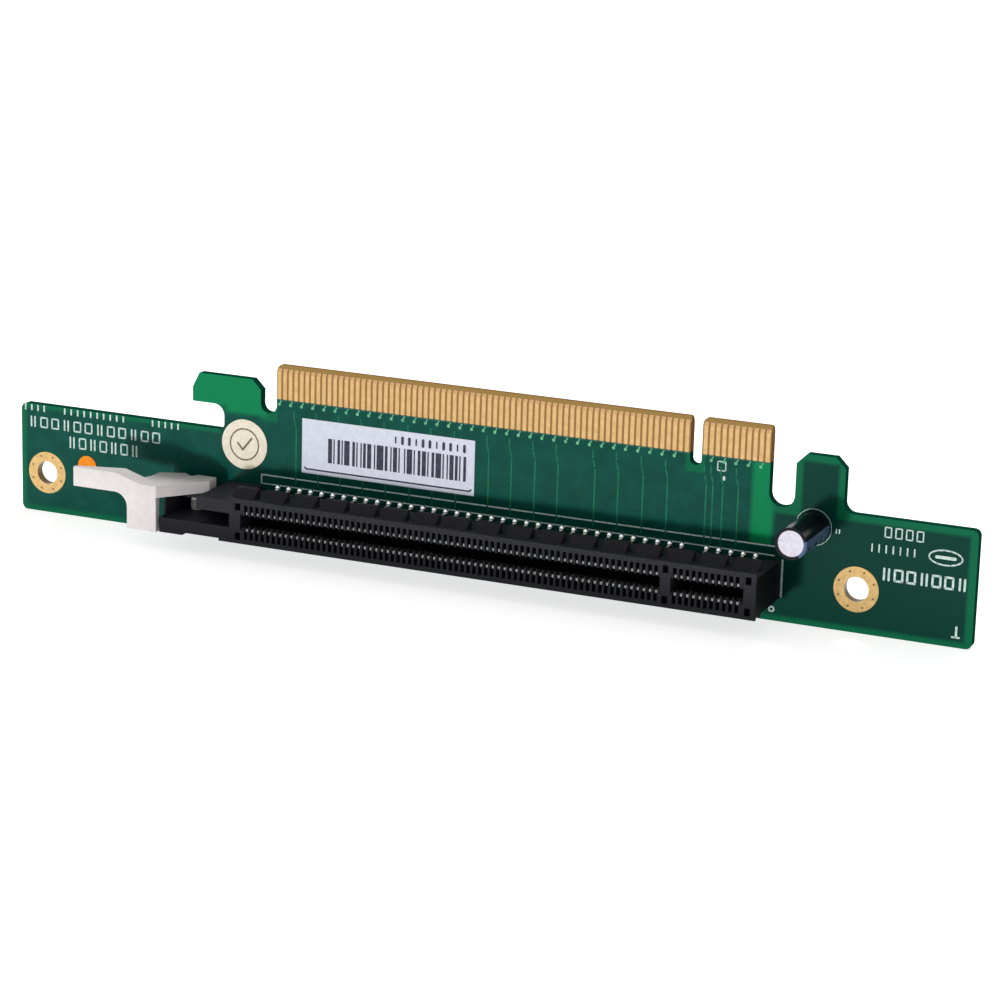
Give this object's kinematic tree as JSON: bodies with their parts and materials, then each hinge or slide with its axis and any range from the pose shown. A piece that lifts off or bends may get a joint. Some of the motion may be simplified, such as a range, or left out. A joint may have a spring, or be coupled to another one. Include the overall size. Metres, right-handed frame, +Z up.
{
  "type": "pcie riser card",
  "caption": "Blue-green PCI Express x16 riser card with gold edge fingers, a black card slot with an off-white latch, one small capacitor and two plated screw holes.",
  "frame": {"origin": "midway between the two screw holes, on the board's component face", "axes": "+X along the board towards its end past the capacitor; +Y from the component face to the solder face; +Z up to the edge fingers"},
  "size_m": [0.165, 0.0144, 0.0303],
  "materials": {
    "board": "satin",
    "gold": "polished",
    "connector_plastic": "satin",
    "contact_metal": "polished",
    "solder": "satin",
    "latch_plastic": "matte",
    "can_metal": "satin",
    "sleeve": "gloss",
    "bung_rubber": "matte",
    "label_paper": "matte",
    "orange_paper": "matte"
  },
  "bodies": {
    "card": {"circuit_board": "board", "edge_fingers_front": "gold", "edge_fingers_back": "gold", "screw_ring_left": "gold", "screw_ring_right": "gold", "slot_housing": "connector_plastic", "contacts_upper_outer": "contact_metal", "contacts_upper_inner": "contact_metal", "contacts_lower_outer": "contact_metal", "contacts_lower_inner": "contact_metal", "solder_upper_outer": "solder", "solder_upper_inner": "solder", "solder_lower_outer": "solder", "solder_lower_inner": "solder", "capacitor_can": "can_metal", "capacitor_sleeve": "sleeve", "capacitor_bung": "bung_rubber", "capacitor_leads": "contact_metal", "capacitor_solder": "solder", "barcode_label": "label_paper", "inspection_sticker": "label_paper", "dot_sticker": "orange_paper"},
    "latch": {"card_latch": "latch_plastic"}
  },
  "joints": [
    {"name": "latch_hinge", "type": "hinge", "parent": "card", "child": "latch", "pos_m": [-0.0402, -0.0034, 0], "axis": [0, 0, -1], "range_deg": [0, 22]}
  ]
}
